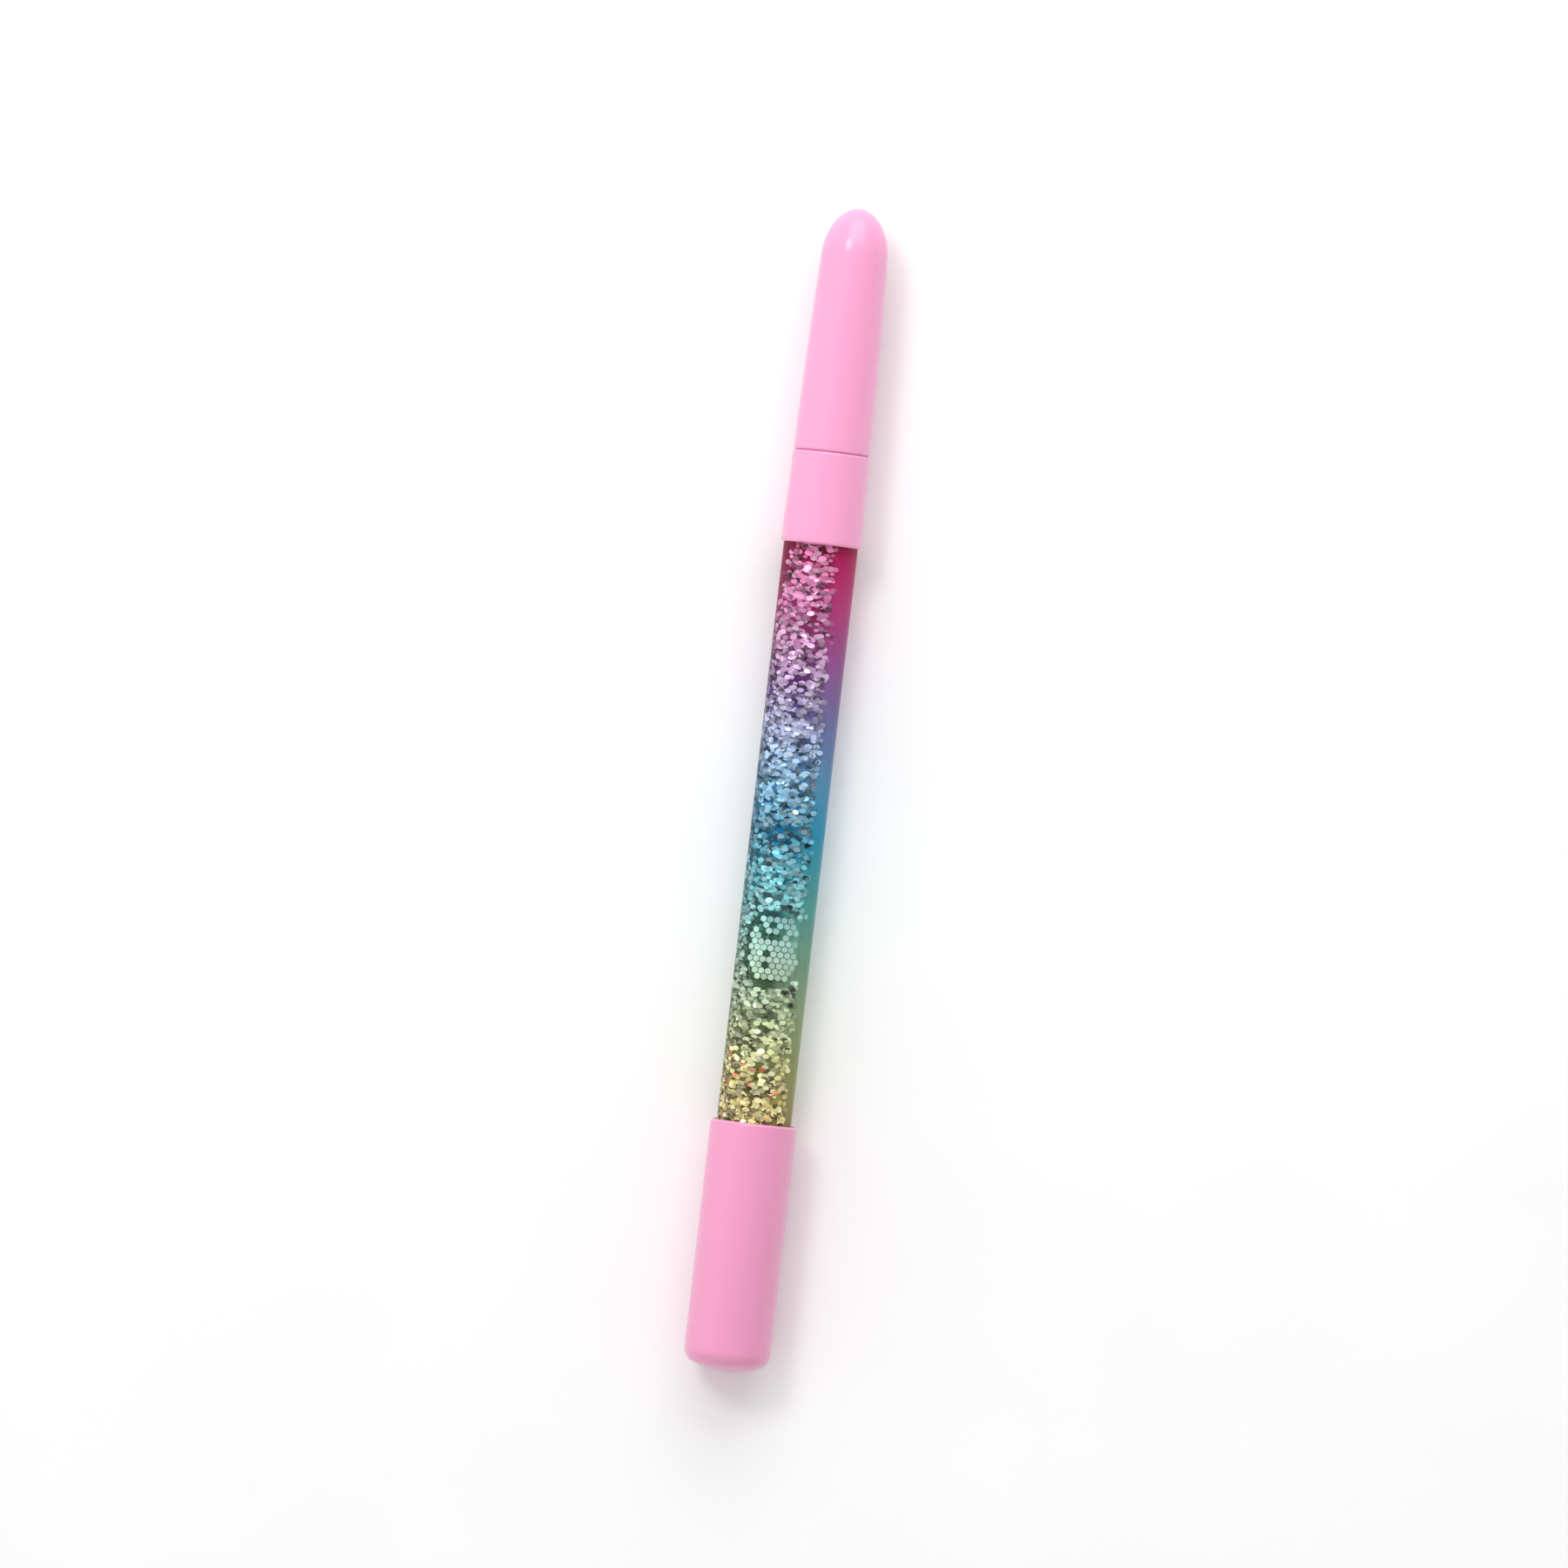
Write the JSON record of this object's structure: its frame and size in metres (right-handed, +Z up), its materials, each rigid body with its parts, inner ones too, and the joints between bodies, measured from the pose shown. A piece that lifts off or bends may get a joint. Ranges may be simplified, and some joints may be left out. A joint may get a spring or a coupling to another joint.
{
  "type": "gel pen",
  "caption": "Capped gel pen with pink tail sleeve, collar and bullet-shaped cap, and a clear liquid-filled barrel of hexagonal glitter flakes with an air bubble.",
  "frame": {"origin": "middle of the box that the pen fills, at its lowest point, as the pen lies on its side", "axes": "+Y along the pen towards the cap's tip, +Z up from the surface the pen lies on, +X across it"},
  "size_m": [0.0138, 0.188, 0.0139],
  "materials": {
    "pink_plastic": "gloss",
    "tinted_acrylic": "gloss",
    "clear_oil": "gloss",
    "clear_resin": "gloss",
    "soft_stopper": "matte",
    "silver_flake": "polished",
    "red_flake": "polished",
    "air_skin": "gloss",
    "seal_rubber": "matte",
    "milky_plastic": "satin",
    "white_plastic": "satin",
    "black_ink": "gloss",
    "grease": "satin",
    "point_metal": "satin",
    "ball_metal": "polished"
  },
  "bodies": {
    "barrel": {"tail_sleeve": "pink_plastic", "barrel_tube": "tinted_acrylic", "rear_stopper": "soft_stopper", "rear_resin": "clear_resin", "barrel_liquid": "clear_oil", "front_stopper": "soft_stopper", "front_resin": "clear_resin", "front_collar": "pink_plastic"},
    "glitter": {"glitter_large": "silver_flake", "glitter_fine": "silver_flake", "glitter_red": "red_flake"},
    "bubble": {"air_bubble": "air_skin"},
    "nose": {"nose_cone": "pink_plastic"},
    "cap": {"cap_shell": "pink_plastic", "cap_seal": "seal_rubber"},
    "refill": {"refill_reservoir": "milky_plastic", "refill_vent_plug": "white_plastic", "ink_column": "black_ink", "tip_holder": "white_plastic", "point_housing": "point_metal", "ball_spring": "point_metal"},
    "follower": {"follower_grease": "grease"},
    "ball": {"writing_ball": "ball_metal"}
  },
  "joints": [
    {"name": "nose_pull", "type": "slide", "parent": "barrel", "child": "nose", "axis": [0, 1, 0], "range_m": [0, 0.06]},
    {"name": "cap_pull", "type": "slide", "parent": "nose", "child": "cap", "axis": [0, 1, 0], "range_m": [0, 0.045]},
    {"name": "refill_draw", "type": "slide", "parent": "barrel", "child": "refill", "axis": [0, 1, 0], "range_m": [0, 0.03]},
    {"name": "follower_creep", "type": "slide", "parent": "refill", "child": "follower", "axis": [0, 1, 0], "range_m": [0, 0.007], "deforming": ["ink_column"]},
    {"name": "ball_roll", "type": "hinge", "parent": "refill", "child": "ball", "pos_m": [0, 0.0896, 0.00695], "axis": [1, 0, 0], "continuous": true},
    {"name": "bubble_travel", "type": "slide", "parent": "barrel", "child": "bubble", "axis": [0, 1, 0], "range_m": [-0.05, 0.0635], "deforming": ["barrel_liquid"]},
    {"name": "glitter_drift", "type": "slide", "parent": "barrel", "child": "glitter", "axis": [0, 1, 0], "range_m": [-0.003, 0.003]}
  ],
  "couplings": [
    {"joint": "refill_draw", "follows": "nose_pull", "ratio": 0.5}
  ]
}
